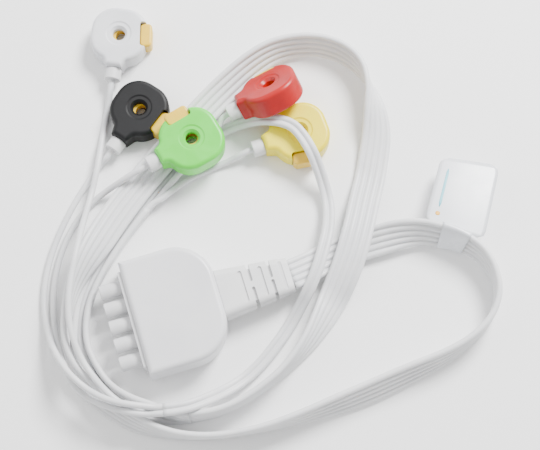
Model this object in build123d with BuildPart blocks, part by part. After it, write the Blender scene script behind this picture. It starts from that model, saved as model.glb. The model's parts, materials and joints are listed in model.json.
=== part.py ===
from build123d import *
import math
import os

os.makedirs("parts", exist_ok=True)

# ---------------------------------------------------------------- dimensions, mm
WIRE_D = 1.76           # outer diameter of one lead wire
WIRE_PITCH = 1.92       # wire spacing in the bonded ribbon and pairs

PLUG_W = 35.9           # plug body width
PLUG_L = 26.7           # plug body length, mating face to shoulder end
PLUG_H = 11.6           # plug body thickness
PLUG_R = 12.1           # radius of the two rear shoulders
PLUG_WALL = 1.6
RELIEF_END = 48.85      # end of the strain relief, from the mating face
BARREL_D = 4.6
BARREL_LEN = 7.7
BARREL_PITCH = 5.65
SOCKET_R = 0.8          # bore that takes a contact pin
CARRIER_W = 30.5

SNAP_R = 8.9            # half width of a snap connector
SNAP_CORNER = 7.3       # corner radius of its squarish outline
SNAP_H = 7.4
SNAP_SPLIT = 3.4        # height of the joint between its two housings
SNAP_FLOOR = 2.0        # wall under the slider
STUD_R = 2.1            # bore that takes the electrode stud
AXIS_H = 3.5            # height of the wire above the underside
POCKET_TOP = 4.8
TRAVEL = 1.0            # button travel

LABEL_WRAP = 7.8        # length of the label's sleeve along the ribbon
LABEL_W = 18.6          # label panel, along the ribbon
LABEL_L = 22.6          # label panel, outwards from the ribbon
LABEL_AT = (49.345, -16.360, 5.615)
LABEL_RUN = (0.948, -0.317, 0.005)
LABEL_EDGE = (0.134, 0.417, 0.899)
LABEL_MID = (52.344, -3.513, 7.600)
LABEL_OUT = (0.260, 0.956, -0.133)
LABEL_NORMAL = (0.032, 0.129, 0.991)

PLUG_FACE = (-47.031, -42.299)
PLUG_ANGLE = 17.057
# each snap connector: underside centre, neck direction, face normal,
# button side (degrees from the neck), reach from the centre to the collar's end, half width
SNAPS = {
    "white": ((-54.457, 50.194, 0.0), (-0.14463, -0.98949, 0.0), (0.0, 0.0, 1.0), 98, 14.6, 8.9),
    "black": ((-47.351, 25.378, 0.0), (-0.54676, -0.83729, 0.0), (0.0, 0.0, 1.0), 88, 15.4, 8.7),
    "green": ((-30.514, 13.699, 5.4), (-0.8645, -0.50264, 0.0), (0.0, 0.0, 1.0), -88, 15.6, 9.4),
    "yellow": ((2.684, 17.914, 0.0), (-0.9411, -0.33814, 0.0), (0.0, 0.0, 1.0), 82, 15.6, 9.0),
    "red": ((-4.329, 27.753, 6.9), (-0.89022, -0.41011, -0.19828), (-0.42282, 0.58196, 0.69466), -90, 15.4, 8.9),
}

# ---------------------------------------------------------------- cord routes
# Corner points of each cord's route: x, y, z and, where wires are bonded side by
# side, the roll of the flat in degrees (0 lies flat, 90 stands on its edge).
RIBBON = [
    (-0.33, -27.97, 6, 0), (3.98, -26.05, 5.3, 0), (9.18, -23.11, 3.77, 0),
    (15.55, -20.02, 2.45, 0), (21.72, -17.75, 2.35, 2), (27.75, -16.06, 3.46, 13),
    (34.14, -14.58, 4.89, 36), (40.53, -14.19, 5.59, 52), (46.65, -15.46, 5.6, 60),
    (52.04, -17.26, 5.63, 68), (56.96, -20.27, 5.4, 76), (60.29, -24.37, 5.17, 84),
    (62.26, -29.66, 5.21, 90), (62.39, -34.86, 5.2, 92), (60.23, -40.4, 5.2, 92),
    (56.73, -44.89, 5.2, 94), (51.95, -48.97, 5.2, 98), (45.77, -52.79, 5.22, 106),
    (38.79, -55.96, 5.1, 114), (31.29, -59.39, 4.99, 120), (23.13, -63.05, 4.99, 122),
    (14.84, -66.26, 5.1, 117), (5.95, -69.54, 5.22, 106), (-3.61, -72.74, 5.2, 96),
    (-12.99, -74.91, 5.2, 88), (-22.46, -76.3, 5.2, 86), (-31.38, -76.29, 5.2, 90),
    (-38.91, -74.96, 5.17, 98), (-46.22, -72.37, 4.56, 116), (-52.2, -68.82, 4.25, 122),
    (-57.3, -65.32, 4.34, 122), (-61.85, -61.46, 4.11, 126), (-65.09, -57.05, 4.61, 114),
    (-66.95, -51.97, 5.03, 100), (-67.91, -46.52, 5.23, 91), (-67.63, -41.16, 6.01, 88),
    (-66.8, -36.05, 6.73, 82), (-65.7, -31.47, 6.39, 74), (-63.85, -26.99, 6.92, 63),
    (-61.25, -22.11, 7.27, 46), (-58.08, -16.47, 6.25, 26), (-54.22, -9.57, 4.84, 12),
    (-49.17, -1.97, 3.93, 5), (-43.9, 5.14, 3.56, 2), (-37.72, 12.74, 3.49, 3),
    (-31.61, 20.35, 3.49, 8), (-25.42, 27.7, 3.55, 18), (-19.16, 34.21, 3.99, 30),
    (-12.87, 40.2, 4.51, 42), (-6.51, 44.74, 4.95, 53), (-0.3, 46.86, 4.99, 60),
    (6.85, 47.5, 5.12, 64), (13.63, 46.1, 5.1, 67), (19.02, 42.96, 5.08, 72),
    (22.67, 38.73, 5.2, 84), (25.11, 33.16, 5.3, 106), (26.2, 27.79, 4.57, 132),
    (26.82, 22.2, 3.28, 152), (26.84, 16.7, 2.13, 166), (25.88, 10.61, 1.56, 175),
    (24.74, 4.17, 1.31, 180), (22.78, -3.38, 3.39, 180), (21.2, -10.29, 5.54, 180),
    (19.51, -16.88, 6.56, 179), (17.63, -23.08, 6.32, 177), (15.34, -29, 5.11, 170),
    (12.6, -34.81, 3.01, 152), (9.5, -40.79, 4.05, 134), (5.98, -46.81, 4.71, 117),
    (1.89, -52.15, 5.28, 104), (-2.74, -57.15, 5.19, 95), (-7.96, -61.43, 5.2, 92),
    (-13.6, -65.36, 5.2, 92), (-19.5, -68.36, 5.22, 92), (-25.61, -70.1, 5.1, 94),
    (-30.13, -70.68, 5, 98),
]
PAIR_BG = [
    (-30.02, -71.07, 2.15, 98), (-33.52, -71.52, 2.07, 98), (-38.01, -70.67, 1.56, 152),
    (-42.87, -69.93, 1.27, 165), (-47.67, -68.04, 1.19, 180), (-52.57, -65.72, 1.2, 180),
    (-57.1, -62.47, 1.2, 180), (-60.49, -57.95, 1.2, 180), (-63.19, -52.21, 1.2, 180),
    (-64.87, -47.57, 1.2, 180), (-64.85, -42.12, 1.2, 180), (-64.36, -36.48, 1.2, 180),
    (-62.86, -31.29, 1.2, 180), (-60.49, -25.8, 1.2, 180), (-57.69, -20.09, 1.2, 180),
    (-53.79, -14.43, 1.2, 180), (-49.32, -8.36, 1.2, 180), (-44.33, -1.87, 1.2, 180),
    (-39.06, 4.7, 1.2, 180), (-33.2, 10.8, 1.18, 180), (-26.95, 16.11, 1.29, 180),
    (-20.71, 20.05, 1.46, 180), (-14.25, 21.54, 4.36, 180), (-8.62, 21.31, 7.59, 180),
    (-3.68, 20.11, 10.1, 180), (0.72, 18.44, 10.2, 180), (3.83, 14.5, 10.28, 180),
    (6.46, 9.93, 9.71, 180), (8.42, 5.86, 6.68, 180), (10.44, 0.7, 3.02, 180),
    (11.76, -5.54, 2.41, 180), (11.31, -13.49, 6.55, 180), (9.69, -20.03, 7.91, 180),
    (7.85, -26.36, 8.41, 180), (5.41, -32.31, 7.22, 180), (2.58, -37.28, 3.44, 180),
    (-0.54, -42.73, 0.95, 180), (-4.32, -48.21, 1.37, 180), (-8.88, -53.99, 1.25, 180),
    (-13.89, -58.89, 1.51, 180), (-19.89, -62.99, 4.09, 180), (-25.87, -66.44, 9.13, 180),
    (-31.87, -68.93, 11.51, 180), (-37.63, -69.43, 11.4, 180),
]
PAIR_YR = [
    (-30.24, -70.29, 7.85, 98), (-33.33, -70.69, 7.78, 98), (-36.86, -69.17, 7.01, 100),
    (-42.15, -67.47, 7.63, 105), (-46.95, -65.64, 6.38, 100), (-51.8, -62.92, 3.66, 95),
    (-56.03, -58.96, 2.07, 90), (-59.14, -54.22, 2.34, 90), (-61.41, -49.23, 2.29, 90),
    (-62.19, -43.87, 2.3, 90), (-61.82, -38.26, 2.3, 90), (-60.45, -33.03, 2.3, 90),
    (-58.31, -27.9, 2.3, 90), (-55.58, -22.79, 2.3, 90), (-52.2, -17.21, 2.3, 90),
    (-48.31, -11.59, 2.3, 90), (-44.25, -6.36, 2.3, 90),
]
S_BLACK = [
    (-37.71, -68.47, 11.4), (-39.75, -68.65, 11.36), (-41.92, -68.47, 11.83),
    (-46.81, -68.07, 12.95), (-51.86, -67.21, 12.86), (-56.29, -65.58, 12.29),
    (-60.48, -63.03, 10.99), (-64.07, -60.13, 11.37), (-67.27, -56.62, 10.39),
    (-70.18, -52.18, 7.92), (-72.73, -47.04, 4.52), (-74.49, -41.65, 1.77),
    (-75.45, -36.15, 0.95), (-75.45, -30.96, 1.02), (-74.81, -25.25, 1), (-73.51, -19.58, 1),
    (-71.56, -13.85, 1), (-69.18, -8.12, 1), (-66.21, -2.16, 1.01), (-63.35, 2.78, 0.95),
    (-61.18, 6.16, 1.27), (-58.97, 8.88, 1.83), (-57.08, 10.48, 3.5), (-55.77, 12.48, 3.5),
]
S_GREEN = [
    (-37.55, -70.39, 11.4), (-39.54, -70.56, 11.36), (-41.76, -70.6, 10.57),
    (-46.02, -70.39, 11.52), (-50.46, -69.34, 10.73), (-55.11, -67.95, 10.51),
    (-59.74, -65.64, 8.6), (-63.19, -62.99, 9.07), (-65.49, -60.16, 8.96),
    (-66.86, -57.28, 8.36), (-68.69, -52.82, 6.47), (-70.49, -47.86, 3.99),
    (-71.9, -42.54, 1.59), (-72.56, -37.1, 0.95), (-72.66, -31.84, 1.02), (-72.15, -26.55, 1),
    (-70.99, -20.97, 1), (-69.22, -15.6, 1), (-66.68, -10.28, 1.02), (-63.04, -5.37, 0.95),
    (-59.08, -1.59, 1.7), (-54.22, 0.79, 4.92), (-50.66, 2.43, 7.16), (-48.28, 3.67, 8.1),
    (-45.9, 4.75, 8.9), (-44, 5.86, 8.9),
]
S_WHITE = [
    (-30.13, -70.68, 5), (-33.3, -71.09, 4.93), (-37.08, -69.99, 4.15), (-42.44, -69.48, 4.44),
    (-46.18, -69, 10.01), (-50.6, -67.15, 10.7), (-54.71, -63.72, 11.37), (-58.92, -58.9, 9.08),
    (-61.6, -55.24, 9.33), (-63.59, -51.16, 10.15), (-65.08, -47.05, 11.35),
    (-65.95, -42.74, 12.14), (-66.22, -37.97, 12.64), (-66.04, -33.21, 12.85),
    (-65.49, -28.16, 12.68), (-64.65, -22.84, 12.68), (-63.85, -16.34, 10.45),
    (-62.99, -9.11, 6.23), (-61.74, -1.81, 3.35), (-60.5, 4.21, 4.06), (-59.66, 10.92, 3.52),
    (-59.09, 18.28, 1.24), (-58.16, 24.91, 1.04), (-57.35, 29.21, 2.14), (-57.02, 32.69, 3.5),
    (-56.57, 35.75, 3.5),
]
S_YELLOW = [
    (-44.25, -6.36, 3.26), (-42.85, -4.55, 3.26), (-40.3, -3.56, 3.4), (-36.91, -0.42, 2.74),
    (-33.61, 2.7, 0.98), (-30.58, 4.42, 1.01), (-26.19, 6.56, 0.97), (-22.07, 8.48, 1.15),
    (-18.75, 9.75, 1.71), (-15.17, 11.5, 3.5), (-12, 12.64, 3.5),
]
S_RED = [
    (-44.25, -6.36, 1.34), (-42.58, -4.21, 1.34), (-40.5, -1.78, 1.96), (-37.25, 2.02, 3.01),
    (-34.05, 5.75, 3.2), (-30.78, 10.01, 3.42), (-27.9, 14.11, 3.5), (-25.14, 17.78, 3.59),
    (-22.36, 20.03, 4.54), (-21.57, 22.53, 5.82), (-19.52, 23.47, 6.28),
]

def roll_frames(route):
    """Unit vector across the flat at each corner, square to the route."""
    out = []
    n = len(route)
    for i in range(n):
        a = Vector(*route[max(i - 1, 0)][:3])
        b = Vector(*route[i][:3])
        c = Vector(*route[min(i + 1, n - 1)][:3])
        d1 = (b - a).normalized() if i > 0 else (c - b).normalized()
        d2 = (c - b).normalized() if i < n - 1 else d1
        t = (d1 + d2).normalized()
        side = Vector(-t.Y, t.X, 0).normalized()
        up = t.cross(side)
        if up.Z < 0:
            up = up * -1
        r = math.radians(route[i][3])
        grow = 1 / math.cos(math.radians(d1.get_angle(d2)) / 2)
        out.append(side * (math.cos(r) * grow) + up * math.sin(r))
    return out


def fillet_radii(points):
    """One tangent-arc radius for each corner: 0.45 of the shorter run over tan(half turn)."""
    radii = []
    for i in range(1, len(points) - 1):
        a, b = points[i] - points[i - 1], points[i + 1] - points[i]
        turn = math.radians(a.get_angle(b))
        radii.append(0.45 * min(a.length, b.length) / math.tan(turn / 2))
    return radii


def tube(name, offsets, route):
    """One or more parallel wires along a route, as a part."""
    across = roll_frames(route) if len(route[0]) > 3 else None
    solids = []
    small = 1e9
    expected = 0.0
    for k in offsets:
        pts = [Vector(*p[:3]) for p in route]
        if across:
            pts = [p + w * (k * WIRE_PITCH) for p, w in zip(pts, across)]
        radii = fillet_radii(pts)
        small = min(small, min(radii))
        with BuildPart() as wire:
            with BuildLine() as path:
                FilletPolyline(*pts, radius=radii)
            with BuildSketch(Plane(origin=pts[0], z_dir=pts[1] - pts[0])):
                Circle(WIRE_D / 2)
            sweep(path=path.wires()[0])
        expected += math.pi * WIRE_D**2 / 4 * path.wires()[0].length
        solids.append(wire.part.solids()[0])
    part = Compound(label=name, children=solids) if len(solids) > 1 else wire.part
    vol = sum(s.volume for s in solids)
    print(f"{name}: least radius {small:.1f}, volume {vol:.1f} against {expected:.1f}")
    part.label = name
    export_step(part, f"parts/{name}.step")


# ---------------------------------------------------------------- plug
ca, sa = math.cos(math.radians(PLUG_ANGLE)), math.sin(math.radians(PLUG_ANGLE))


def plug_plane(h=0.0):
    """Plane with its origin on the mating face's foot and x along the plug."""
    return Plane(origin=(PLUG_FACE[0], PLUG_FACE[1], h), x_dir=(ca, sa, 0), z_dir=(0, 0, 1))


def plug_across(s, h=0.0):
    """Plane square to the plug's length, s from the mating face, at height h."""
    return Plane(origin=(PLUG_FACE[0] + ca * s, PLUG_FACE[1] + sa * s, h),
                 x_dir=(-sa, ca, 0), z_dir=(ca, sa, 0))


HALF = PLUG_H / 2
PLUG_AXIS = Axis((0, 0, 0), (0, 0, 1))


def plug_outline(inset):
    """Plug body outline, moved in by inset."""
    w, r = PLUG_W / 2 - inset, PLUG_R - inset
    x0, x1 = inset, PLUG_L - inset
    with BuildLine() as line:
        Polyline((x1 - r, w), (x0, w), (x0, -w), (x1 - r, -w))
        ThreePointArc((x1 - r, -w), (x1 - r + r * math.sqrt(0.5), -w + r - r * math.sqrt(0.5)), (x1, -w + r))
        Line((x1, -w + r), (x1, w - r))
        ThreePointArc((x1, w - r), (x1 - r + r * math.sqrt(0.5), w - r + r * math.sqrt(0.5)), (x1 - r, w))
    return line


def plug_shell(name, low, high, top):
    with BuildPart() as shell:
        with BuildSketch(plug_plane(low)):
            add(plug_outline(0))
            make_face()
        extrude(amount=high - low)
        outer = shell.faces().sort_by(Axis.Z)[-1 if top else 0]
        fillet(outer.edges(), radius=1.7)
        # hollow
        with BuildSketch(plug_plane(low if top else low + PLUG_WALL)):
            add(plug_outline(PLUG_WALL))
            make_face()
        extrude(amount=high - low - PLUG_WALL, mode=Mode.SUBTRACT)
        # window for the contact carrier in the mating face
        with BuildSketch(plug_across(-0.1, HALF)):
            Rectangle(CARRIER_W + 0.2, 8.4)
        extrude(amount=PLUG_WALL + 0.2, mode=Mode.SUBTRACT)
        # opening for the strain relief's root
        with BuildSketch(plug_across(PLUG_L + 0.1, HALF)):
            Rectangle(11.2, 6.2)
        extrude(amount=-PLUG_WALL - 0.2, mode=Mode.SUBTRACT)
    shell.part.label = name
    export_step(shell.part, f"parts/{name}.step")


plug_shell("plug_cover_bottom", 0.0, HALF - 0.01, False)
plug_shell("plug_cover_top", HALF + 0.01, PLUG_H, True)

# contact carrier: a block behind the window with five barrels in front of it
with BuildPart() as carrier:
    with BuildSketch(plug_across(-1.0, HALF)):
        RectangleRounded(CARRIER_W, 8.2, 0.8)
    extrude(amount=PLUG_WALL + 1.0 - 0.05)
    with BuildSketch(plug_across(PLUG_WALL + 0.05, HALF)):
        Rectangle(PLUG_W - 2 * PLUG_WALL - 0.4, 8.4)
    extrude(amount=4.4)
    with BuildSketch(plug_across(PLUG_WALL - 0.06, HALF)):
        RectangleRounded(CARRIER_W, 8.2, 0.8)
    extrude(amount=0.12)
    with BuildSketch(plug_across(-1.0, HALF)):
        with GridLocations(BARREL_PITCH, 1, 5, 1):
            Circle(BARREL_D / 2)
    extrude(amount=-(BARREL_LEN - 1.0))
    rims = carrier.edges().filter_by(GeomType.CIRCLE).sort_by(Axis((0, 0, 0), (ca, sa, 0)))[:5]
    fillet(rims, radius=0.3)
    # bore for each contact pin, then the wider seat of its socket
    with BuildSketch(plug_across(-BARREL_LEN - 0.1, HALF)):
        with GridLocations(BARREL_PITCH, 1, 5, 1):
            Circle(SOCKET_R)
    extrude(amount=BARREL_LEN + PLUG_WALL + 6.0, mode=Mode.SUBTRACT)
    with BuildSketch(plug_across(-BARREL_LEN + 4.0, HALF)):
        with GridLocations(BARREL_PITCH, 1, 5, 1):
            Circle(1.32)
    extrude(amount=20.0, mode=Mode.SUBTRACT)
carrier.part.label = "contact_carrier"
export_step(carrier.part, "parts/contact_carrier.step")

# contact sockets: a turned tube in each barrel with its solder cup behind
with BuildPart() as sockets:
    with BuildSketch(plug_across(-BARREL_LEN + 4.05, HALF)):
        with GridLocations(BARREL_PITCH, 1, 5, 1):
            Circle(1.28)
            Circle(1.0, mode=Mode.SUBTRACT)
    extrude(amount=6.0)
    with BuildSketch(plug_across(-BARREL_LEN + 10.05, HALF)):
        with GridLocations(BARREL_PITCH, 1, 5, 1):
            Circle(1.28)
    extrude(amount=6.0)
    with BuildSketch(plug_across(-BARREL_LEN + 18.0, HALF)):
        with GridLocations(BARREL_PITCH, 1, 5, 1):
            Circle(0.5)
    extrude(amount=-2.6, mode=Mode.SUBTRACT)
    with BuildSketch(plug_across(-BARREL_LEN + 16.04, HALF)):
        with GridLocations(BARREL_PITCH, 1, 5, 1):
            Circle(1.05)
            Circle(0.5, mode=Mode.SUBTRACT)
    extrude(amount=1.6)
sockets.part.label = "contact_sockets"
export_step(sockets.part, "parts/contact_sockets.step")

# cores: five bared conductors from the solder cups to the cable clamp
cores = []
for k in (-2, -1, 0, 1, 2):
    with BuildPart() as core:
        p = [Vector(PLUG_FACE[0] + ca * s - sa * t, PLUG_FACE[1] + sa * s + ca * t, HALF)
             for s, t in ((10.2, k * BARREL_PITCH), (13.0, k * BARREL_PITCH),
                          (19.0, k * (WIRE_PITCH + 0.25)), (21.8, k * (WIRE_PITCH + 0.25)))]
        with BuildLine() as path:
            if k:
                FilletPolyline(*p, radius=fillet_radii(p))
            else:
                Line(p[0], p[-1])
        with BuildSketch(Plane(origin=p[0], z_dir=p[1] - p[0])):
            Circle(0.65)
        sweep(path=path.wires()[0])
    cores.append(core.part.solids()[0])
core_group = Compound(label="plug_cores", children=cores)
export_step(core_group, "parts/plug_cores.step")

# cable clamp: a bar across the cover's hollow that grips the five wires
with BuildPart() as clamp:
    with BuildSketch(plug_across(21.9, HALF)):
        Rectangle(13.6, 5.0)
    extrude(amount=2.4)
    chamfer(clamp.edges().filter_by(Axis.Z), length=0.4)
clamp.part.label = "cable_clamp"
export_step(clamp.part, "parts/cable_clamp.step")

# strain relief: tapered, with shallow ribs across it and slots cut in from its edges
with BuildPart() as relief:
    with BuildSketch(plug_across(PLUG_L + 0.01, HALF)):
        RectangleRounded(15.1, 9.2, 2.2)
    with BuildSketch(plug_across(RELIEF_END - 3.2, HALF + 0.1)):
        RectangleRounded(11.7, 6.4, 2.2)
    loft()
    with BuildSketch(plug_across(RELIEF_END - 3.2, HALF + 0.1)):
        RectangleRounded(11.7, 6.4, 2.2)
    with BuildSketch(plug_across(RELIEF_END, HALF + 0.2)):
        RectangleRounded(10.6, 4.6, 1.9)
    loft()
    # root that the two covers hold
    with BuildSketch(plug_across(PLUG_L + 0.02, HALF)):
        Rectangle(11.0, 6.0)
    extrude(amount=-PLUG_WALL - 0.2)
    with BuildSketch(plug_across(PLUG_L - PLUG_WALL - 0.1, HALF)):
        RectangleRounded(13.6, 8.2, 1.0)
    extrude(amount=-0.3)
    for s in (36.85, 43.05):
        for side in (-1, 1):
            half = 7.55 - (s - PLUG_L) * 0.094
            with BuildSketch(plug_plane(HALF - 6)):
                with Locations((s, side * (half - 0.2))):
                    Rectangle(1.1, 3.0)
            extrude(amount=12, mode=Mode.SUBTRACT)
            for h in (-1, 1):
                depth = (9.2 - (s - PLUG_L) * 0.142) / 2
                with BuildSketch(plug_plane(HALF + h * (depth - 0.9))):
                    with Locations((s, side * (half - 3.2))):
                        SlotOverall(5.0, 1.0, rotation=90)
                extrude(amount=h * 4, mode=Mode.SUBTRACT)
    for s in (34.05, 40.25, 46.4):
        for h in (-1, 1):
            depth = (9.2 - (s - PLUG_L) * 0.142) / 2
            with BuildSketch(plug_plane(HALF + h * (depth - 0.45))):
                with Locations((s, 0)):
                    SlotOverall(10.4 - (s - PLUG_L) * 0.08, 1.2, rotation=90)
            extrude(amount=h * 4, mode=Mode.SUBTRACT)
relief.part.label = "strain_relief"
export_step(relief.part, "parts/strain_relief.step")

# ---------------------------------------------------------------- label
# P-shaped flag: a sleeve round the five wires and a flat panel leaving its raised edge
with BuildPart() as label:
    sleeve_plane = Plane(origin=Vector(*LABEL_AT) - Vector(*LABEL_RUN) * (LABEL_WRAP / 2),
                         x_dir=LABEL_EDGE, z_dir=LABEL_RUN)
    with BuildSketch(sleeve_plane):
        RectangleRounded(10.8, 2.9, 1.3)
    extrude(amount=LABEL_WRAP)
    with BuildSketch(Plane(origin=LABEL_MID, x_dir=LABEL_OUT, z_dir=LABEL_NORMAL)):
        RectangleRounded(LABEL_L, LABEL_W, 2.5)
    extrude(amount=0.3)
    with BuildSketch(sleeve_plane.offset(-5)):
        RectangleRounded(10.3, 2.4, 1.1)
    extrude(amount=LABEL_WRAP + 10, mode=Mode.SUBTRACT)
label.part.label = "label_flag"
export_step(label.part, "parts/label_flag.step")
print("label bodies", len(label.part.solids()), "lowest", round(label.part.bounding_box().min.Z, 2))

# ---------------------------------------------------------------- snap connectors


def in_plane(o, x, z, x_off, y_off, h, turn=0.0):
    """Plane of a snap connector, moved in its own axes and turned about its normal."""
    ox, xx, zz = Vector(*o), Vector(*x), Vector(*z)
    yy = zz.cross(xx)
    r = math.radians(turn)
    return Plane(origin=ox + xx * x_off + yy * y_off + zz * h,
                 x_dir=xx * math.cos(r) + yy * math.sin(r), z_dir=zz)


def snap(color, o, x, z, side, reach, half_w):
    normal = Axis(Vector(*o), Vector(*z))

    def at(h, turn=0.0):
        return in_plane(o, x, z, 0, 0, h, turn)

    def neck_plane(s):
        xx, zz = Vector(*x), Vector(*z)
        return Plane(origin=Vector(*o) + xx * s + zz * AXIS_H, x_dir=zz.cross(xx), z_dir=xx)

    neck_end = reach - 3.8

    def outline(low):
        with BuildSketch(at(low)) as sk:
            RectangleRounded(2 * half_w, 2 * half_w, SNAP_CORNER)
            with BuildLine():
                Polyline((2.6, -7.8), (8.6, -3.6), (neck_end, -2.6), (neck_end, 2.6), (8.6, 3.6), (2.6, 7.8), (2.6, -7.8))
            make_face()
            offset(amount=2.0)
            offset(amount=-2.0)
        return sk.sketch

    # lower housing
    lower_outline = outline(0)
    with BuildPart() as lower:
        extrude(lower_outline, amount=SNAP_SPLIT - 0.01)
        face = lower.faces().sort_by(normal)[0]
        fillet(face.edges(), radius=0.9)
        with BuildSketch(at(-0.1)):
            Circle(STUD_R)
        extrude(amount=SNAP_FLOOR + 0.2, mode=Mode.SUBTRACT)
        # slider's track, wider behind its shoulder
        with BuildSketch(at(SNAP_FLOOR, side)):
            with Locations((2.6, 0)):
                Rectangle(17.6, 8.0)
            with Locations((-4.3, 0)):
                Rectangle(3.8, 9.4)
        extrude(amount=4, mode=Mode.SUBTRACT)
        # notch for the button's head
        with BuildSketch(at(1.0, side)):
            with Locations((5.4 + 5, 0)):
                Rectangle(10.0, 8.2)
        extrude(amount=4, mode=Mode.SUBTRACT)
        # seat of the contact ring and its tongue
        with BuildSketch(at(SNAP_FLOOR - 0.36)):
            Circle(3.3)
            with Locations((5.5, 0)):
                Rectangle(8.6, 2.0)
        extrude(amount=0.5, mode=Mode.SUBTRACT)
        with BuildSketch(at(SNAP_FLOOR - 0.36)):
            with Locations((9.0, 0)):
                Rectangle(1.6, 2.0)
        extrude(amount=4, mode=Mode.SUBTRACT)
        with BuildSketch(neck_plane(8.9)):
            Circle(1.05)
        extrude(amount=neck_end, mode=Mode.SUBTRACT)
    lower.part.label = f"{color}_housing_bottom"
    export_step(lower.part, f"parts/{color}_housing_bottom.step")

    # upper housing
    upper_outline = outline(SNAP_SPLIT + 0.01)
    with BuildPart() as upper:
        extrude(upper_outline, amount=SNAP_H - SNAP_SPLIT - 0.01)
        face = upper.faces().sort_by(normal)[-1]
        fillet(face.edges(), radius=1.4)
        # the face dishes a little round the stud opening
        with BuildSketch(at(SNAP_H - 0.28)):
            Circle(3.7)
        with BuildSketch(at(SNAP_H + 0.02)):
            Circle(4.2)
        loft(mode=Mode.SUBTRACT)
        with BuildSketch(at(SNAP_SPLIT)):
            Circle(2.0)
        extrude(amount=6, mode=Mode.SUBTRACT)
        with BuildSketch(at(SNAP_H - 1.1)):
            Circle(2.0)
        with BuildSketch(at(SNAP_H - 0.2)):
            Circle(2.8)
        loft(mode=Mode.SUBTRACT)
        with BuildSketch(at(SNAP_SPLIT - 1, side)):
            with Locations((2.6, 0)):
                Rectangle(17.6, 8.0)
            with Locations((-4.3, 0)):
                Rectangle(3.8, 9.4)
        extrude(amount=POCKET_TOP - SNAP_SPLIT + 1, mode=Mode.SUBTRACT)
        with BuildSketch(at(SNAP_SPLIT - 1, side)):
            with Locations((5.4 + 5, 0)):
                Rectangle(10.0, 8.2)
        extrude(amount=6.4 - SNAP_SPLIT + 1, mode=Mode.SUBTRACT)
        with BuildSketch(at(SNAP_SPLIT - 1, side)):
            with Locations((6.7 + 5, 0)):
                RectangleRounded(10.0, 8.2, 0.9)
        extrude(amount=8, mode=Mode.SUBTRACT)
        with BuildSketch(neck_plane(8.9)):
            Circle(1.05)
        extrude(amount=neck_end, mode=Mode.SUBTRACT)
    upper.part.label = f"{color}_housing_top"
    export_step(upper.part, f"parts/{color}_housing_top.step")

    # release slider with the button's head on its end
    with BuildPart() as slider:
        with BuildSketch(at(SNAP_FLOOR + 0.15, side)):
            with Locations((1.0, 0)):
                Rectangle(11.4, 7.6)
            with Locations((-3.55, 0)):
                Rectangle(2.1, 9.0)
        extrude(amount=POCKET_TOP - SNAP_FLOOR - 0.3)
        with BuildSketch(at(1.2, side)):
            with Locations(((6.6 + half_w + 1.5) / 2, 0)):
                RectangleRounded(half_w + 1.5 - 6.6, 7.8, 1.3)
        extrude(amount=5.0)
        head = slider.faces().sort_by(normal)[-1]
        fillet(head.edges(), radius=0.7)
        # opening for the stud, set towards the button until it is pressed
        with BuildSketch(at(0, side)):
            with Locations((TRAVEL, 0)):
                Circle(STUD_R + 0.05)
        extrude(amount=8, mode=Mode.SUBTRACT)
    slider.part.label = f"{color}_button"
    export_step(slider.part, f"parts/{color}_button.step")

    # bowed leaf spring behind the slider
    with BuildPart() as spring:
        with BuildSketch(at(SNAP_FLOOR + 0.6, side)):
            with Locations((-2.26, 0)):
                Circle(3.83)
                Circle(3.63, mode=Mode.SUBTRACT)
            with Locations((-5.42, 0)):
                Rectangle(1.36, 6.2, mode=Mode.INTERSECT)
        extrude(amount=1.6)
    spring.part.label = f"{color}_spring"
    export_step(spring.part, f"parts/{color}_spring.step")

    # contact ring, tongue and crimp
    with BuildPart() as contact:
        with BuildSketch(at(SNAP_FLOOR - 0.33)):
            Circle(3.15)
            with Locations((6.0, 0)):
                Rectangle(7.4, 1.7)
            Circle(STUD_R, mode=Mode.SUBTRACT)
        extrude(amount=0.3)
        with BuildSketch(at(SNAP_FLOOR - 0.33)):
            with Locations((9.5, 0)):
                Rectangle(0.4, 1.7)
        extrude(amount=AXIS_H - SNAP_FLOOR + 0.33 + 0.6)
        with BuildSketch(neck_plane(9.4)):
            Circle(0.95)
        extrude(amount=neck_end - 9.4 - 0.05)
    contact.part.label = f"{color}_contact"
    export_step(contact.part, f"parts/{color}_contact.step")

    # collar moulded on the wire
    with BuildPart() as collar:
        with BuildSketch(neck_plane(neck_end + 0.01)):
            Circle(2.6)
        extrude(amount=reach - neck_end - 0.01)
        fillet(collar.edges().filter_by(GeomType.CIRCLE), radius=0.35)
    collar.part.label = f"{color}_collar"
    export_step(collar.part, f"parts/{color}_collar.step")


for color, spec in SNAPS.items():
    snap(color, *spec)

# ---------------------------------------------------------------- cords
tube("ribbon_cable", (-2, -1, 0, 1, 2), RIBBON)
tube("pair_black_green", (-0.5, 0.5), PAIR_BG)
tube("pair_yellow_red", (-0.5, 0.5), PAIR_YR)
tube("black_lead", (0,), S_BLACK)
tube("green_lead", (0,), S_GREEN)
tube("white_lead", (0,), S_WHITE)
tube("yellow_lead", (0,), S_YELLOW)
tube("red_lead", (0,), S_RED)
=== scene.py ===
import json, math
import bpy
from mathutils import Vector, Matrix

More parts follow.
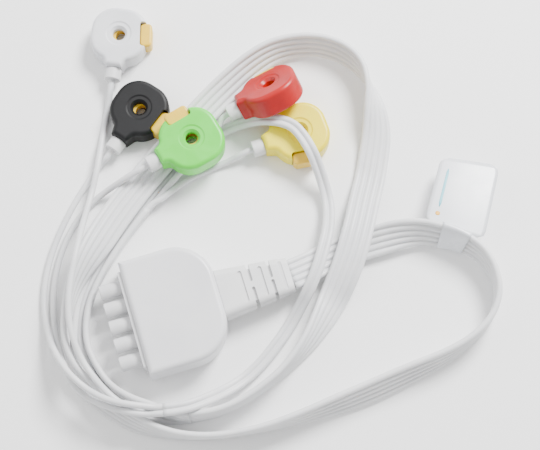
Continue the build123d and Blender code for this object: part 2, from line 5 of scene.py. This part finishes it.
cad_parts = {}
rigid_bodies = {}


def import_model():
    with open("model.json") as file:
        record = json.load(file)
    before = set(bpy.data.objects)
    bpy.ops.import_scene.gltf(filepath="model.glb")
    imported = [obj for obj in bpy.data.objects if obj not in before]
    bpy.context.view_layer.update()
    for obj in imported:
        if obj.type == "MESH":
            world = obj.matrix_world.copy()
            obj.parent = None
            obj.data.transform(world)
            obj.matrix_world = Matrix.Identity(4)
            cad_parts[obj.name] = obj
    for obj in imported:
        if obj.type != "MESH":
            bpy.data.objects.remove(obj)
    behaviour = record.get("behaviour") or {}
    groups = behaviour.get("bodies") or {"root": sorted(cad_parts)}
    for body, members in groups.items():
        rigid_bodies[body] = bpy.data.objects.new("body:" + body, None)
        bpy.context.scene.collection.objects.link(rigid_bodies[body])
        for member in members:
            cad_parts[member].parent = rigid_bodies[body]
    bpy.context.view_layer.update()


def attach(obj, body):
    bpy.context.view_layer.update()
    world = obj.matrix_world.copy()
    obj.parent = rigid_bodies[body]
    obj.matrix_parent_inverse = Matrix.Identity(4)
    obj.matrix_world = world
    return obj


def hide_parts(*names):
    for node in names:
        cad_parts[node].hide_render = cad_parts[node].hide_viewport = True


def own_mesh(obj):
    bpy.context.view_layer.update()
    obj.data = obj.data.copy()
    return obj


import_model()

MM = 0.001
PITCH = 1.92
WIRE = 1.9

# Corner points of each cord, mm: x, y, z and the roll of the flat where wires are bonded.
RIBBON = [
    (-0.33, -27.97, 6, 0), (3.98, -26.05, 5.3, 0), (9.18, -23.11, 3.77, 0), (15.55, -20.02, 2.45, 0),
    (21.72, -17.75, 2.35, 2), (27.75, -16.06, 3.46, 13), (34.14, -14.58, 4.89, 36), (40.53, -14.19, 5.59, 52),
    (46.65, -15.46, 5.6, 60), (52.04, -17.26, 5.63, 68), (56.96, -20.27, 5.4, 76), (60.29, -24.37, 5.17, 84),
    (62.26, -29.66, 5.21, 90), (62.39, -34.86, 5.2, 92), (60.23, -40.4, 5.2, 92), (56.73, -44.89, 5.2, 94),
    (51.95, -48.97, 5.2, 98), (45.77, -52.79, 5.22, 106), (38.79, -55.96, 5.1, 114),
    (31.29, -59.39, 4.99, 120), (23.13, -63.05, 4.99, 122), (14.84, -66.26, 5.1, 117),
    (5.95, -69.54, 5.22, 106), (-3.61, -72.74, 5.2, 96), (-12.99, -74.91, 5.2, 88), (-22.46, -76.3, 5.2, 86),
    (-31.38, -76.29, 5.2, 90), (-38.91, -74.96, 5.17, 98), (-46.22, -72.37, 4.56, 116),
    (-52.2, -68.82, 4.25, 122), (-57.3, -65.32, 4.34, 122), (-61.85, -61.46, 4.11, 126),
    (-65.09, -57.05, 4.61, 114), (-66.95, -51.97, 5.03, 100), (-67.91, -46.52, 5.23, 91),
    (-67.63, -41.16, 6.01, 88), (-66.8, -36.05, 6.73, 82), (-65.7, -31.47, 6.39, 74),
    (-63.85, -26.99, 6.92, 63), (-61.25, -22.11, 7.27, 46), (-58.08, -16.47, 6.25, 26),
    (-54.22, -9.57, 4.84, 12), (-49.17, -1.97, 3.93, 5), (-43.9, 5.14, 3.56, 2), (-37.72, 12.74, 3.49, 3),
    (-31.61, 20.35, 3.49, 8), (-25.42, 27.7, 3.55, 18), (-19.16, 34.21, 3.99, 30), (-12.87, 40.2, 4.51, 42),
    (-6.51, 44.74, 4.95, 53), (-0.3, 46.86, 4.99, 60), (6.85, 47.5, 5.12, 64), (13.63, 46.1, 5.1, 67),
    (19.02, 42.96, 5.08, 72), (22.67, 38.73, 5.2, 84), (25.11, 33.16, 5.3, 106), (26.2, 27.79, 4.57, 132),
    (26.82, 22.2, 3.28, 152), (26.84, 16.7, 2.13, 166), (25.88, 10.61, 1.56, 175), (24.74, 4.17, 1.31, 180),
    (22.78, -3.38, 3.39, 180), (21.2, -10.29, 5.54, 180), (19.51, -16.88, 6.56, 179),
    (17.63, -23.08, 6.32, 177), (15.34, -29, 5.11, 170), (12.6, -34.81, 3.01, 152), (9.5, -40.79, 4.05, 134),
    (5.98, -46.81, 4.71, 117), (1.89, -52.15, 5.28, 104), (-2.74, -57.15, 5.19, 95), (-7.96, -61.43, 5.2, 92),
    (-13.6, -65.36, 5.2, 92), (-19.5, -68.36, 5.22, 92), (-25.61, -70.1, 5.1, 94), (-30.13, -70.68, 5, 98),
]
PAIR_BG = [
    (-30.02, -71.07, 2.15, 98), (-33.52, -71.52, 2.07, 98), (-38.01, -70.67, 1.56, 152),
    (-42.87, -69.93, 1.27, 165), (-47.67, -68.04, 1.19, 180), (-52.57, -65.72, 1.2, 180),
    (-57.1, -62.47, 1.2, 180), (-60.49, -57.95, 1.2, 180), (-63.19, -52.21, 1.2, 180),
    (-64.87, -47.57, 1.2, 180), (-64.85, -42.12, 1.2, 180), (-64.36, -36.48, 1.2, 180),
    (-62.86, -31.29, 1.2, 180), (-60.49, -25.8, 1.2, 180), (-57.69, -20.09, 1.2, 180),
    (-53.79, -14.43, 1.2, 180), (-49.32, -8.36, 1.2, 180), (-44.33, -1.87, 1.2, 180), (-39.06, 4.7, 1.2, 180),
    (-33.2, 10.8, 1.18, 180), (-26.95, 16.11, 1.29, 180), (-20.71, 20.05, 1.46, 180),
    (-14.25, 21.54, 4.36, 180), (-8.62, 21.31, 7.59, 180), (-3.68, 20.11, 10.1, 180),
    (0.72, 18.44, 10.2, 180), (3.83, 14.5, 10.28, 180), (6.46, 9.93, 9.71, 180), (8.42, 5.86, 6.68, 180),
    (10.44, 0.7, 3.02, 180), (11.76, -5.54, 2.41, 180), (11.31, -13.49, 6.55, 180), (9.69, -20.03, 7.91, 180),
    (7.85, -26.36, 8.41, 180), (5.41, -32.31, 7.22, 180), (2.58, -37.28, 3.44, 180),
    (-0.54, -42.73, 0.95, 180), (-4.32, -48.21, 1.37, 180), (-8.88, -53.99, 1.25, 180),
    (-13.89, -58.89, 1.51, 180), (-19.89, -62.99, 4.09, 180), (-25.87, -66.44, 9.13, 180),
    (-31.87, -68.93, 11.51, 180), (-37.63, -69.43, 11.4, 180),
]
PAIR_YR = [
    (-30.24, -70.29, 7.85, 98), (-33.33, -70.69, 7.78, 98), (-36.86, -69.17, 7.01, 100),
    (-42.15, -67.47, 7.63, 105), (-46.95, -65.64, 6.38, 100), (-51.8, -62.92, 3.66, 95),
    (-56.03, -58.96, 2.07, 90), (-59.14, -54.22, 2.34, 90), (-61.41, -49.23, 2.29, 90),
    (-62.19, -43.87, 2.3, 90), (-61.82, -38.26, 2.3, 90), (-60.45, -33.03, 2.3, 90), (-58.31, -27.9, 2.3, 90),
    (-55.58, -22.79, 2.3, 90), (-52.2, -17.21, 2.3, 90), (-48.31, -11.59, 2.3, 90), (-44.25, -6.36, 2.3, 90),
]
S_BLACK = [
    (-37.71, -68.47, 11.4), (-39.75, -68.65, 11.36), (-41.92, -68.47, 11.83), (-46.81, -68.07, 12.95),
    (-51.86, -67.21, 12.86), (-56.29, -65.58, 12.29), (-60.48, -63.03, 10.99), (-64.07, -60.13, 11.37),
    (-67.27, -56.62, 10.39), (-70.18, -52.18, 7.92), (-72.73, -47.04, 4.52), (-74.49, -41.65, 1.77),
    (-75.45, -36.15, 0.95), (-75.45, -30.96, 1.02), (-74.81, -25.25, 1), (-73.51, -19.58, 1),
    (-71.56, -13.85, 1), (-69.18, -8.12, 1), (-66.21, -2.16, 1.01), (-63.35, 2.78, 0.95),
    (-61.18, 6.16, 1.27), (-58.97, 8.88, 1.83), (-57.08, 10.48, 3.5), (-55.77, 12.48, 3.5),
]
S_GREEN = [
    (-37.55, -70.39, 11.4), (-39.54, -70.56, 11.36), (-41.76, -70.6, 10.57), (-46.02, -70.39, 11.52),
    (-50.46, -69.34, 10.73), (-55.11, -67.95, 10.51), (-59.74, -65.64, 8.6), (-63.19, -62.99, 9.07),
    (-65.49, -60.16, 8.96), (-66.86, -57.28, 8.36), (-68.69, -52.82, 6.47), (-70.49, -47.86, 3.99),
    (-71.9, -42.54, 1.59), (-72.56, -37.1, 0.95), (-72.66, -31.84, 1.02), (-72.15, -26.55, 1),
    (-70.99, -20.97, 1), (-69.22, -15.6, 1), (-66.68, -10.28, 1.02), (-63.04, -5.37, 0.95),
    (-59.08, -1.59, 1.7), (-54.22, 0.79, 4.92), (-50.66, 2.43, 7.16), (-48.28, 3.67, 8.1), (-45.9, 4.75, 8.9),
    (-44, 5.86, 8.9),
]
S_WHITE = [
    (-30.13, -70.68, 5), (-33.3, -71.09, 4.93), (-37.08, -69.99, 4.15), (-42.44, -69.48, 4.44),
    (-46.18, -69, 10.01), (-50.6, -67.15, 10.7), (-54.71, -63.72, 11.37), (-58.92, -58.9, 9.08),
    (-61.6, -55.24, 9.33), (-63.59, -51.16, 10.15), (-65.08, -47.05, 11.35), (-65.95, -42.74, 12.14),
    (-66.22, -37.97, 12.64), (-66.04, -33.21, 12.85), (-65.49, -28.16, 12.68), (-64.65, -22.84, 12.68),
    (-63.85, -16.34, 10.45), (-62.99, -9.11, 6.23), (-61.74, -1.81, 3.35), (-60.5, 4.21, 4.06),
    (-59.66, 10.92, 3.52), (-59.09, 18.28, 1.24), (-58.16, 24.91, 1.04), (-57.35, 29.21, 2.14),
    (-57.02, 32.69, 3.5), (-56.57, 35.75, 3.5),
]
S_YELLOW = [
    (-44.25, -6.36, 3.26), (-42.85, -4.55, 3.26), (-40.3, -3.56, 3.4), (-36.91, -0.42, 2.74),
    (-33.61, 2.7, 0.98), (-30.58, 4.42, 1.01), (-26.19, 6.56, 0.97), (-22.07, 8.48, 1.15),
    (-18.75, 9.75, 1.71), (-15.17, 11.5, 3.5), (-12, 12.64, 3.5),
]
S_RED = [
    (-44.25, -6.36, 1.34), (-42.58, -4.21, 1.34), (-40.5, -1.78, 1.96), (-37.25, 2.02, 3.01),
    (-34.05, 5.75, 3.2), (-30.78, 10.01, 3.42), (-27.9, 14.11, 3.5), (-25.14, 17.78, 3.59),
    (-22.36, 20.03, 4.54), (-21.57, 22.53, 5.82), (-19.52, 23.47, 6.28),
]

SNAPS = {
    "white": ((-54.457, 50.194, 0.0), (-0.14463, -0.98949, 0.0), (0.0, 0.0, 1.0), 98, 14.6, 8.9),
    "black": ((-47.351, 25.378, 0.0), (-0.54676, -0.83729, 0.0), (0.0, 0.0, 1.0), 88, 15.4, 8.7),
    "green": ((-30.514, 13.699, 5.4), (-0.8645, -0.50264, 0.0), (0.0, 0.0, 1.0), -88, 15.6, 9.4),
    "yellow": ((2.684, 17.914, 0.0), (-0.9411, -0.33814, 0.0), (0.0, 0.0, 1.0), 82, 15.6, 9.0),
    "red": ((-4.329, 27.753, 6.9), (-0.89022, -0.41011, -0.19828), (-0.42282, 0.58196, 0.69466), -90, 15.4, 8.9),
}

LABEL_AT, LABEL_RUN, LABEL_EDGE = (49.345, -16.360, 5.615), (0.948, -0.317, 0.005), (0.134, 0.417, 0.899)
LABEL_MID, LABEL_OUT, LABEL_NORMAL = (52.344, -3.513, 7.600), (0.260, 0.956, -0.133), (0.032, 0.129, 0.991)


# ---------------------------------------------------------------- materials
def srgb(r, g, b):
    def f(c):
        c /= 255.0
        return c / 12.92 if c <= 0.04045 else ((c + 0.055) / 1.055) ** 2.4
    return (f(r), f(g), f(b))


def mix(a, b, t):
    return tuple(x * (1 - t) + y * t for x, y in zip(a, b))


def material(name, base, alt, rough=0.4, rough_to=0.5, scale=90.0, grain=1800.0, bump=0.12, coat=0.0,
             sss=0.0, sss_color=None, metal=0.0, depth=0.00006, wear=None, streak=None, ior=1.5):
    """Moulded plastic, rubber or metal: blotchy colour, uneven gloss, fine grain and a soft waviness."""
    m = bpy.data.materials.new(name)
    m.use_nodes = True
    nt = m.node_tree
    for n in list(nt.nodes):
        nt.nodes.remove(n)
    out = nt.nodes.new("ShaderNodeOutputMaterial")
    bs = nt.nodes.new("ShaderNodeBsdfPrincipled")
    nt.links.new(bs.outputs[0], out.inputs[0])
    tc = nt.nodes.new("ShaderNodeTexCoord")

    def noise(sc, detail=4.0, r=0.55, dist=0.0, vec=None):
        n = nt.nodes.new("ShaderNodeTexNoise")
        n.inputs["Scale"].default_value = sc
        n.inputs["Detail"].default_value = detail
        n.inputs["Roughness"].default_value = r
        n.inputs["Distortion"].default_value = dist
        nt.links.new(vec or tc.outputs["Object"], n.inputs["Vector"])
        return n.outputs["Fac"]

    def ramp(fac, lo, hi, p0=0.35, p1=0.68):
        r = nt.nodes.new("ShaderNodeValToRGB")
        r.color_ramp.elements[0].position = p0
        r.color_ramp.elements[1].position = p1
        r.color_ramp.elements[0].color = (*lo, 1) if not isinstance(lo, float) else (lo, lo, lo, 1)
        r.color_ramp.elements[1].color = (*hi, 1) if not isinstance(hi, float) else (hi, hi, hi, 1)
        nt.links.new(fac, r.inputs[0])
        return r.outputs[0]

    big = noise(scale, 3.0, 0.5, 0.4)
    col = ramp(big, base, alt)
    # faint specks of handling dirt
    speck = ramp(noise(scale * 9, 6.0, 0.7), 0.0, 1.0, 0.62, 0.74)
    mx = nt.nodes.new("ShaderNodeMix")
    mx.data_type = "RGBA"
    nt.links.new(col, mx.inputs[6])
    mx.inputs[7].default_value = (*mix(base, wear or mix(base, (0.2, 0.18, 0.15), 0.35), 0.5), 1)
    k = nt.nodes.new("ShaderNodeMath")
    k.operation = "MULTIPLY"
    nt.links.new(speck, k.inputs[0])
    k.inputs[1].default_value = 0.22
    nt.links.new(k.outputs[0], mx.inputs[0])
    nt.links.new(mx.outputs[2], bs.inputs["Base Color"])
    rg = ramp(noise(scale * 3.1, 5.0, 0.6), rough, rough_to, 0.3, 0.7)
    nt.links.new(rg, bs.inputs["Roughness"])
    # bump: fine spark-eroded grain over a soft sink-mark waviness
    fine = noise(grain, 3.0, 0.6)
    soft = noise(scale * 1.7, 2.0, 0.5)
    b1 = nt.nodes.new("ShaderNodeBump")
    b1.inputs["Strength"].default_value = bump
    b1.inputs["Distance"].default_value = depth
    nt.links.new(fine, b1.inputs["Height"])
    b2 = nt.nodes.new("ShaderNodeBump")
    b2.inputs["Strength"].default_value = bump * 0.6
    b2.inputs["Distance"].default_value = depth * 4
    nt.links.new(soft, b2.inputs["Height"])
    nt.links.new(b1.outputs[0], b2.inputs["Normal"])
    nt.links.new(b2.outputs[0], bs.inputs["Normal"])
    bs.inputs["Metallic"].default_value = metal
    bs.inputs["IOR"].default_value = ior
    bs.inputs["Coat Weight"].default_value = coat
    bs.inputs["Coat Roughness"].default_value = 0.25
    if sss:
        bs.inputs["Subsurface Weight"].default_value = sss
        bs.inputs["Subsurface Radius"].default_value = sss_color or (1.0, 0.9, 0.8)
        bs.inputs["Subsurface Scale"].default_value = 0.0012
    return m


WHITE = srgb(236, 236, 236)
M = {
    "shell": material("white_shell", srgb(226, 226, 228), srgb(219, 219, 222), 0.30, 0.40, 60, 1500, 0.10, 0.12, 0.10),
    "carrier": material("carrier_plastic", srgb(216, 216, 217), srgb(208, 208, 210), 0.36, 0.46, 80, 1700, 0.12, 0.0, 0.10),
    "rubber": material("white_rubber", srgb(222, 222, 222), srgb(213, 213, 214), 0.42, 0.55, 90, 2200, 0.18, 0.0, 0.12),
    "wire": material("wire_white", srgb(224, 224, 225), srgb(214, 215, 217), 0.36, 0.48, 70, 2600, 0.16, 0.05, 0.14),
    "white": material("snap_white", srgb(222, 223, 226), srgb(213, 214, 218), 0.36, 0.46, 110, 1700, 0.14, 0.08, 0.10),
    "black": material("snap_black", srgb(5, 5, 7), srgb(9, 9, 12), 0.50, 0.62, 130, 1900, 0.22, 0.0, ior=1.4,
                      wear=srgb(40, 40, 46)),
    "green": material("snap_green", srgb(78, 210, 52), srgb(94, 218, 70), 0.34, 0.44, 120, 1800, 0.14, 0.08,
                      0.25, (0.5, 1.0, 0.4)),
    "yellow": material("snap_yellow", srgb(236, 216, 0), srgb(240, 222, 10), 0.34, 0.44, 120, 1800, 0.14, 0.08,
                       0.25, (1.0, 0.8, 0.25)),
    "red": material("snap_red", srgb(162, 0, 0), srgb(174, 1, 0), 0.36, 0.46, 120, 1800, 0.14, 0.04),
    "button": material("button_cream", srgb(224, 184, 40), srgb(230, 192, 56), 0.34, 0.44, 150, 1900, 0.14, 0.08,
                       0.2, (1.0, 0.7, 0.3)),
    "brass": material("contact_brass", (0.60, 0.44, 0.18), (0.72, 0.55, 0.26), 0.22, 0.38, 300, 3000, 0.2, metal=1.0),
    "steel": material("spring_steel", (0.5, 0.5, 0.5), (0.62, 0.62, 0.62), 0.22, 0.36, 300, 3000, 0.2, metal=1.0),
    "copper": material("copper_core", (0.62, 0.30, 0.16), (0.74, 0.40, 0.22), 0.28, 0.42, 300, 3000, 0.3, metal=1.0),
    "label": material("label_film", srgb(226, 228, 232), srgb(218, 221, 226), 0.22, 0.32, 50, 900, 0.06, 0.25),
    "teal": material("print_teal", srgb(120, 200, 214), srgb(108, 192, 208), 0.3, 0.4, 200, 1500, 0.08),
    "amber": material("print_amber", srgb(244, 180, 50), srgb(240, 172, 44), 0.3, 0.4, 200, 1500, 0.08),
}


def cad(node):
    return bpy.data.objects[node] if node in bpy.data.objects else next(
        o for o in bpy.data.objects if o.name.split(".")[0] == node)


def dress(node, mat):
    o = cad(node)
    if not o.material_slots:
        o.data.materials.append(M[mat])
    for s in o.material_slots:
        s.material = M[mat]


for n in ("plug_cover_bottom", "plug_cover_top"):
    dress(n, "shell")
dress("contact_carrier", "carrier")
dress("cable_clamp", "carrier")
dress("strain_relief", "rubber")
dress("contact_sockets", "brass")
dress("plug_cores", "copper")
for c in ("white", "black", "green", "yellow", "red"):
    dress(c + "_housing_bottom", c)
    dress(c + "_housing_top", c)
    dress(c + "_button", "button")
    dress(c + "_spring", "steel")
    dress(c + "_contact", "brass")
    dress(c + "_collar", "rubber")


# each leaf spring (which flattens as its button goes in) is swapped for its own copy of the mesh, attached to the set;
# the copy keeps the modelled shape
for c, (o0, xd, zd, side, reach, hw) in SNAPS.items():
    xv, zv = Vector(xd), Vector(zd)
    b = xv * math.cos(math.radians(side)) + zv.cross(xv) * math.sin(math.radians(side))
    s = bpy.data.objects.new("v_" + c + "_spring", cad(c + "_spring").data.copy())
    bpy.context.scene.collection.objects.link(s)
    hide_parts(c + "_spring")
    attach(s, "set")
    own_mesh(s)


# ---------------------------------------------------------------- cords
def roll_frames(route):
    """Vector across the flat at each corner, square to the route."""
    out, n = [], len(route)
    for i in range(n):
        a, b, c = (Vector(route[j][:3]) for j in (max(i - 1, 0), i, min(i + 1, n - 1)))
        d1 = (b - a).normalized() if i > 0 else (c - b).normalized()
        d2 = (c - b).normalized() if i < n - 1 else d1
        t = (d1 + d2).normalized()
        side = Vector((-t.y, t.x, 0)).normalized()
        up = t.cross(side)
        if up.z < 0:
            up = -up
        r = math.radians(route[i][3])
        grow = 1 / math.cos(d1.angle(d2) / 2)
        out.append(side * (math.cos(r) * grow) + up * math.sin(r))
    return out


def nurbs(name, points, bevel=0.0):
    cu = bpy.data.curves.new(name, "CURVE")
    cu.dimensions = "3D"
    cu.resolution_u = 8
    sp = cu.splines.new("NURBS")
    sp.points.add(len(points) - 1)
    for p, q in zip(sp.points, points):
        p.co = (q[0] * MM, q[1] * MM, q[2] * MM, 1)
    sp.order_u = 3
    sp.use_endpoint_u = True
    if bevel:
        cu.bevel_depth = bevel * MM
        cu.bevel_resolution = 5
        cu.use_fill_caps = True
    o = bpy.data.objects.new(name, cu)
    bpy.context.scene.collection.objects.link(o)
    return o


def sampled(name, points):
    """Points of the NURBS line through Blender's own evaluation."""
    o = nurbs(name + "_line", points)
    bpy.context.view_layer.update()
    me = bpy.data.meshes.new_from_object(o)
    pts = [v.co.copy() for v in me.vertices]
    bpy.data.objects.remove(o)
    bpy.data.meshes.remove(me)
    return pts


def bonded(name, route, wires):
    """Side-by-side wires with a thin web between them, swept along the route."""
    w = roll_frames(route)
    centre = sampled(name, [Vector(p[:3]) for p in route])
    edge = sampled(name + "_e", [Vector(p[:3]) + q * 3.0 for p, q in zip(route, w)])
    r, web = WIRE / 2, 0.36
    half = (wires - 1) / 2
    prof = []
    steps = 9
    for k in range(wires):
        c = (k - half) * PITCH
        lo = -90 if k == 0 else -62
        for s in range(steps):
            a = math.radians(-64 + 128 * s / (steps - 1))
            prof.append((c + r * math.sin(a), r * math.cos(a)))
    top = prof
    # rounded outer sides
    right = [(half * PITCH + r * math.cos(math.radians(b)), r * math.sin(math.radians(b))) for b in (16, 5, -5, -16)]
    bottom = [(x, -y) for x, y in reversed(top)]
    left = [(-x, -y) for x, y in right]
    ring = top + right + bottom + left
    verts, faces = [], []
    n = len(centre)
    for i in range(n):
        t = (centre[min(i + 1, n - 1)] - centre[max(i - 1, 0)]).normalized()
        x = edge[i] - centre[i]
        x = (x - t * x.dot(t)).normalized()
        y = t.cross(x)
        for a, b in ring:
            verts.append(centre[i] + x * (a * MM) + y * (b * MM))
    m = len(ring)
    for i in range(n - 1):
        for j in range(m):
            k = (j + 1) % m
            faces.append((i * m + j, i * m + k, (i + 1) * m + k, (i + 1) * m + j))
    faces.append(tuple(range(m))[::-1])
    faces.append(tuple((n - 1) * m + j for j in range(m)))
    me = bpy.data.meshes.new(name)
    me.from_pydata([tuple(v) for v in verts], [], faces)
    me.validate()
    me.polygons.foreach_set("use_smooth", [True] * len(me.polygons))
    o = bpy.data.objects.new(name, me)
    bpy.context.scene.collection.objects.link(o)
    o.data.materials.append(M["wire"])
    return o, centre


def run_length(pts):
    return sum((b - a).length for a, b in zip(pts, pts[1:]))


for node, route, wires in (("ribbon_cable", RIBBON, 5), ("pair_black_green", PAIR_BG, 2), ("pair_yellow_red", PAIR_YR, 2)):
    o, line = bonded("v_" + node, route, wires)
    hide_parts(node)
    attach(o, "set")
    round(run_length(line), 4)
    tuple(line[0])
    [tuple(p) for p in line]

for color, route in (("black", S_BLACK), ("green", S_GREEN), ("white", S_WHITE), ("yellow", S_YELLOW), ("red", S_RED)):
    node = color + "_lead"
    pts = sampled(node, route)
    o = nurbs("v_" + node, route, WIRE / 2)
    o.data.materials.append(M["wire"])
    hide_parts(node)
    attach(o, "set")
    round(run_length(pts), 4)
    tuple(pts[0])


# ---------------------------------------------------------------- label
def basis(out, normal):
    z = Vector(normal).normalized()
    x = Vector(out)
    x = (x - z * x.dot(z)).normalized()
    return x, z.cross(x), z


def add_mesh(name, verts, faces, mat, smooth=True):
    me = bpy.data.meshes.new(name)
    me.from_pydata([tuple(v) for v in verts], [], faces)
    me.validate()
    me.polygons.foreach_set("use_smooth", [smooth] * len(me.polygons))
    o = bpy.data.objects.new(name, me)
    bpy.context.scene.collection.objects.link(o)
    o.data.materials.append(M[mat])
    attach(o, "set")
    return o


PX, PY, PZ = basis(LABEL_OUT, LABEL_NORMAL)
PL, PW, PR = 22.6, 18.6, 2.6
QUAD = [Vector(q) for q in [[40.312, -12.074, 9.2], [58.108, -18.019, 9.2], [64.546, 6.561, 6.0], [46.409, 9.479, 6.0]]]


def panel_point(u, v, h):
    """u runs outwards, v along the ribbon; the film bows a little along both u and v."""
    bow = 0.35 * (1 - (2 * v / PW) ** 2) + 0.25 * math.sin(math.pi * (u + PL / 2) / PL)
    a, b = (u + PL / 2) / PL, (v + PW / 2) / PW
    near = QUAD[0] * b + QUAD[1] * (1 - b)
    far = QUAD[3] * b + QUAD[2] * (1 - b)
    return (near * (1 - a) + far * a + PZ * (h + bow - 0.2)) * MM


def panel(name, u0, u1, v0, v1, r, low, high, mat, nu=18, nv=16):
    verts, faces = [], []
    cols = []
    for i in range(nu + 1):
        u = u0 + (u1 - u0) * i / nu
        d = min(u - u0, u1 - u)
        cut = r - math.sqrt(max(0.0, r * r - (r - d) ** 2)) if d < r else 0.0
        a, b = v0 + cut, v1 - cut
        cols.append([(u, a + (b - a) * j / nv) for j in range(nv + 1)])
    top = [panel_point(u, v, high) for c in cols for u, v in c]
    bot = [panel_point(u, v, low) for c in cols for u, v in c]
    verts = top + bot
    n, w = len(top), nv + 1
    for i in range(nu):
        for j in range(nv):
            a = i * w + j
            faces.append((a, a + w, a + w + 1, a + 1))
            faces.append((n + a, n + a + 1, n + a + w + 1, n + a + w))
    rim = [j for j in range(w)] + [i * w + nv for i in range(1, nu + 1)] + \
          [nu * w + j for j in range(nv - 1, -1, -1)] + [i * w for i in range(nu - 1, 0, -1)]
    for a, b in zip(rim, rim[1:] + rim[:1]):
        faces.append((a, b, n + b, n + a))
    return add_mesh(name, verts, faces, mat)


# sleeve: the film wrapped round the five wires, following the ribbon
lab = RIBBON[8 - 2:8 + 4]
full_centre = sampled("lab_c", [Vector(p[:3]) for p in RIBBON])
full_edge = sampled("lab_e", [Vector(p[:3]) + q * 3.0 for p, q in zip(RIBBON, roll_frames(RIBBON))])
mid_i = min(range(len(full_centre)), key=lambda i: (full_centre[i] - Vector(LABEL_AT) * MM).length)
acc, i0 = 0.0, mid_i
while acc < 3.9 * MM:
    acc += (full_centre[i0] - full_centre[i0 - 1]).length
    i0 -= 1
acc, i1 = 0.0, mid_i
while acc < 3.9 * MM:
    acc += (full_centre[i1 + 1] - full_centre[i1]).length
    i1 += 1
verts, faces = [], []
ring = []
for s in range(48):
    a = 2 * math.pi * s / 48
    cx, cy = math.cos(a), math.sin(a)
    ring.append(((abs(cx) ** 0.5) * math.copysign(5.25, cx), (abs(cy) ** 0.75) * math.copysign(1.32, cy)))
for i in range(i0, i1 + 1):
    t = (full_centre[i + 1] - full_centre[i - 1]).normalized()
    x = full_edge[i] - full_centre[i]
    x = (x - t * x.dot(t)).normalized()
    y = t.cross(x)
    for k in (1.0, 0.955):
        for a, b in ring:
            verts.append(full_centre[i] + x * (a * k * MM) + y * (b * (k if k == 1.0 else 0.84) * MM))
rows = i1 - i0 + 1
for i in range(rows - 1):
    for layer in (0, 1):
        for j in range(48):
            k = (j + 1) % 48
            p, q = (i * 2 + layer) * 48, ((i + 1) * 2 + layer) * 48
            f = (p + j, p + k, q + k, q + j)
            faces.append(f if layer == 0 else f[::-1])
for i, flip in ((0, True), (rows - 1, False)):
    for j in range(48):
        k = (j + 1) % 48
        p, q = (i * 2) * 48, (i * 2 + 1) * 48
        f = (p + j, p + k, q + k, q + j)
        faces.append(f[::-1] if flip else f)
sleeve = add_mesh("label_sleeve", verts, faces, "label")
flag = panel("label_panel", -PL / 2, PL / 2, -PW / 2, PW / 2, PR, 0.0, 0.26, "label")
rule = panel("label_rule", -5.4, 7.6, 5.7, 6.5, 0.3, 0.262, 0.275, "teal", 10, 4)
tick = panel("label_tick", -8.2, -6.9, 5.4, 6.8, 0.4, 0.262, 0.275, "amber", 4, 4)
sleeve.parent = None
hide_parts("label_flag")

# ---------------------------------------------------------------- floor, light, camera
bpy.ops.mesh.primitive_plane_add(size=6.0, location=(0, 0, -0.00005))
floor = bpy.context.object
floor.name = "floor"
fm = bpy.data.materials.new("floor_white")
fm.use_nodes = True
fb = fm.node_tree.nodes["Principled BSDF"]
fb.inputs["Base Color"].default_value = (0.97, 0.97, 0.97, 1)
fb.inputs["Roughness"].default_value = 0.75
floor.data.materials.append(fm)

world = bpy.context.scene.world or bpy.data.worlds.new("world")
bpy.context.scene.world = world
world.use_nodes = True
bg = world.node_tree.nodes.get("Background") or world.node_tree.nodes.new("ShaderNodeBackground")
bg.inputs[0].default_value = (1, 1, 1, 1)
bg.inputs[1].default_value = 1.0


def area(name, loc, target, size, power, color=(1, 1, 1)):
    li = bpy.data.lights.new(name, "AREA")
    li.shape = "DISK"
    li.size = size
    li.energy = power
    li.color = color
    o = bpy.data.objects.new(name, li)
    bpy.context.scene.collection.objects.link(o)
    o.location = loc
    o.rotation_euler = (Vector(target) - Vector(loc)).to_track_quat("-Z", "Y").to_euler()
    return o


area("key", (0.30, 0.42, 0.55), (0, 0, 0), 0.30, 15)
area("fill", (-0.55, 0.10, 0.50), (0, 0, 0), 0.6, 2.0)

OX, OY = 6.529, 10.707
el = math.radians(75.0)
cam_data = bpy.data.cameras.new("camera")
cam_data.sensor_width = 36
cam_data.lens = 90.3
cam_data.clip_start = 0.01
cam_data.clip_end = 20
cam = bpy.data.objects.new("camera", cam_data)
bpy.context.scene.collection.objects.link(cam)
look = Vector((-OX, -OY, 0)) * MM
cam.location = look + Vector((0, -math.cos(el), math.sin(el))) * 0.420
cam.rotation_euler = (look - cam.location).to_track_quat("-Z", "Y").to_euler()
bpy.context.scene.camera = cam
